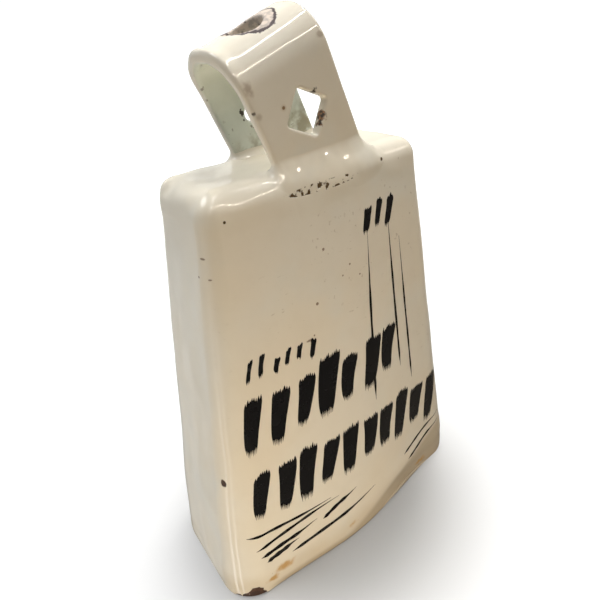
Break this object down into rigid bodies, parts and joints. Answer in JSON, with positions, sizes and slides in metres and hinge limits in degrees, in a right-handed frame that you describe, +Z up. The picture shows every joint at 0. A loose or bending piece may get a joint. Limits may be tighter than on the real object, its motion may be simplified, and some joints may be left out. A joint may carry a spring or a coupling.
{
  "type": "cowbell",
  "caption": "Flat, tapered steel cowbell with an open mouth and a leaning U-shaped rod bracket welded to its closed top.",
  "frame": {"origin": "centre of the bounding box, in the plane of the mouth's rim", "axes": "+Z up from the mouth to the closed end, +Y to the back, +X to the right seen from the front face"},
  "size_m": [0.0996, 0.0504, 0.1664],
  "materials": {
    "shell_enamel": "glossy fired enamel, warm white, worn",
    "weld_enamel": "glossy fired enamel over weld metal",
    "bracket_enamel": "glossy fired enamel, chipped at the screw hole"
  },
  "bodies": {
    "root": {"front_shell": "shell_enamel", "back_shell": "shell_enamel", "end_cap": "shell_enamel", "left_seam_weld": "weld_enamel", "right_seam_weld": "weld_enamel", "cap_seam_weld": "weld_enamel", "mounting_bracket": "bracket_enamel", "front_foot_weld": "weld_enamel", "back_foot_weld": "weld_enamel"}
  },
  "joints": []
}
